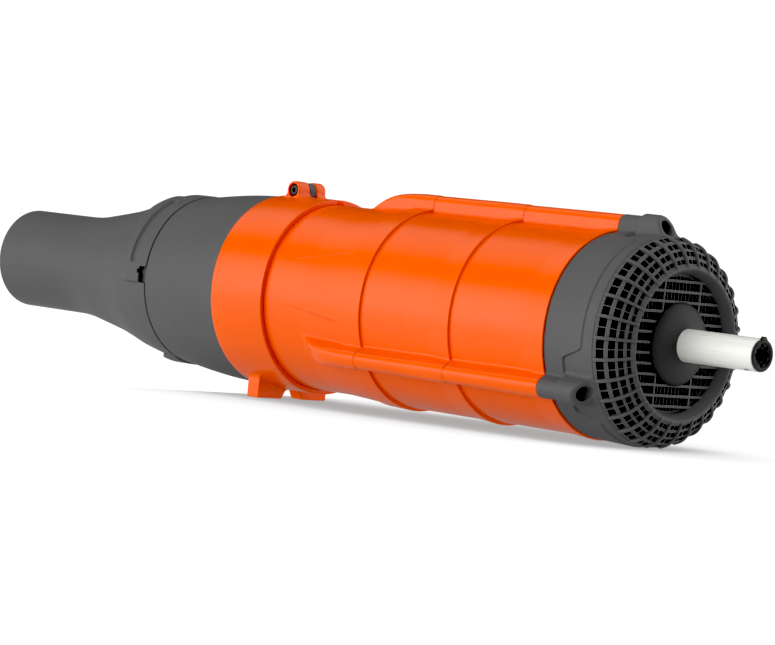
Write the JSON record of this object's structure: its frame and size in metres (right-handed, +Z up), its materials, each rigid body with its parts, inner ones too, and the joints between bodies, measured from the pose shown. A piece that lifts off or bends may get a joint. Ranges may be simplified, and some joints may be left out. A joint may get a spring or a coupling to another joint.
{
  "type": "axial fan blower attachment",
  "caption": "Round axial-fan leaf blower attachment that plugs onto a split-shaft power head, with a grilled intake, a stepped housing and a twist-off tapered nozzle.",
  "frame": {"origin": "centre of the drive tube's free end face, on the fan axis", "axes": "+X along the fan axis out of the drive tube's free end, towards the power head; air blows out at -X. +Z up, through the top screw boss and the clamp lug; the feet point down"},
  "size_m": [0.7846, 0.159, 0.174],
  "materials": {
    "orange_shell": "satin gloss moulded orange plastic, soft highlights",
    "grey_shell": "fine matte moulded dark grey plastic",
    "black_plastic": "matte black plastic",
    "boot_rubber": "smooth black rubber",
    "tube_white": "satin white coated aluminium tube",
    "steel": "turned steel",
    "zinc_screw": "dark zinc plated screws",
    "black_oxide": "blackened clamp screw",
    "brass": "knurled brass",
    "bush_plastic": "natural bearing plastic",
    "fan_plastic": "glass filled black nylon",
    "carrier_alloy": "die cast alloy",
    "seal_rubber": "matte black seal rubber"
  },
  "bodies": {
    "body": {"fan_housing": "orange_shell", "clamp_band": "orange_shell", "intake_cover": "grey_shell", "inner_screen": "grey_shell", "outlet_tube": "grey_shell", "hub_boot": "boot_rubber", "drive_tube": "tube_white", "tube_end_plug": "black_plastic", "shaft_bushes": "bush_plastic", "hub_carrier": "carrier_alloy", "tube_set_screw": "zinc_screw", "bearing_outer_rings": "steel", "outer_ring_spacer": "steel", "bearing_circlip": "zinc_screw", "flow_straightener": "fan_plastic", "tail_cone": "fan_plastic", "cover_screws": "zinc_screw", "threaded_inserts": "brass", "cover_seal": "seal_rubber", "clamp_screw": "black_oxide", "clamp_nut": "zinc_screw", "joint_gasket": "seal_rubber"},
    "rotor": {"drive_shaft": "steel", "coupling_socket": "black_plastic", "fan_shaft": "steel", "impeller_key": "steel", "bearing_inner_rings": "steel", "bearing_balls": "steel", "bearing_spacers": "steel", "impeller": "fan_plastic", "fan_washer": "zinc_screw", "fan_nut": "zinc_screw"},
    "nozzle": {"nozzle": "grey_shell", "nozzle_seal": "seal_rubber"}
  },
  "joints": [
    {"name": "rotor_spin", "type": "hinge", "parent": "body", "child": "rotor", "pos_m": [-0.182, 0, 0], "axis": [1, 0, 0], "continuous": true},
    {"name": "nozzle_twist", "type": "hinge", "parent": "body", "child": "nozzle", "pos_m": [-0.5855, 0, 0], "axis": [1, 0, 0], "range_deg": [0, 90]}
  ]
}
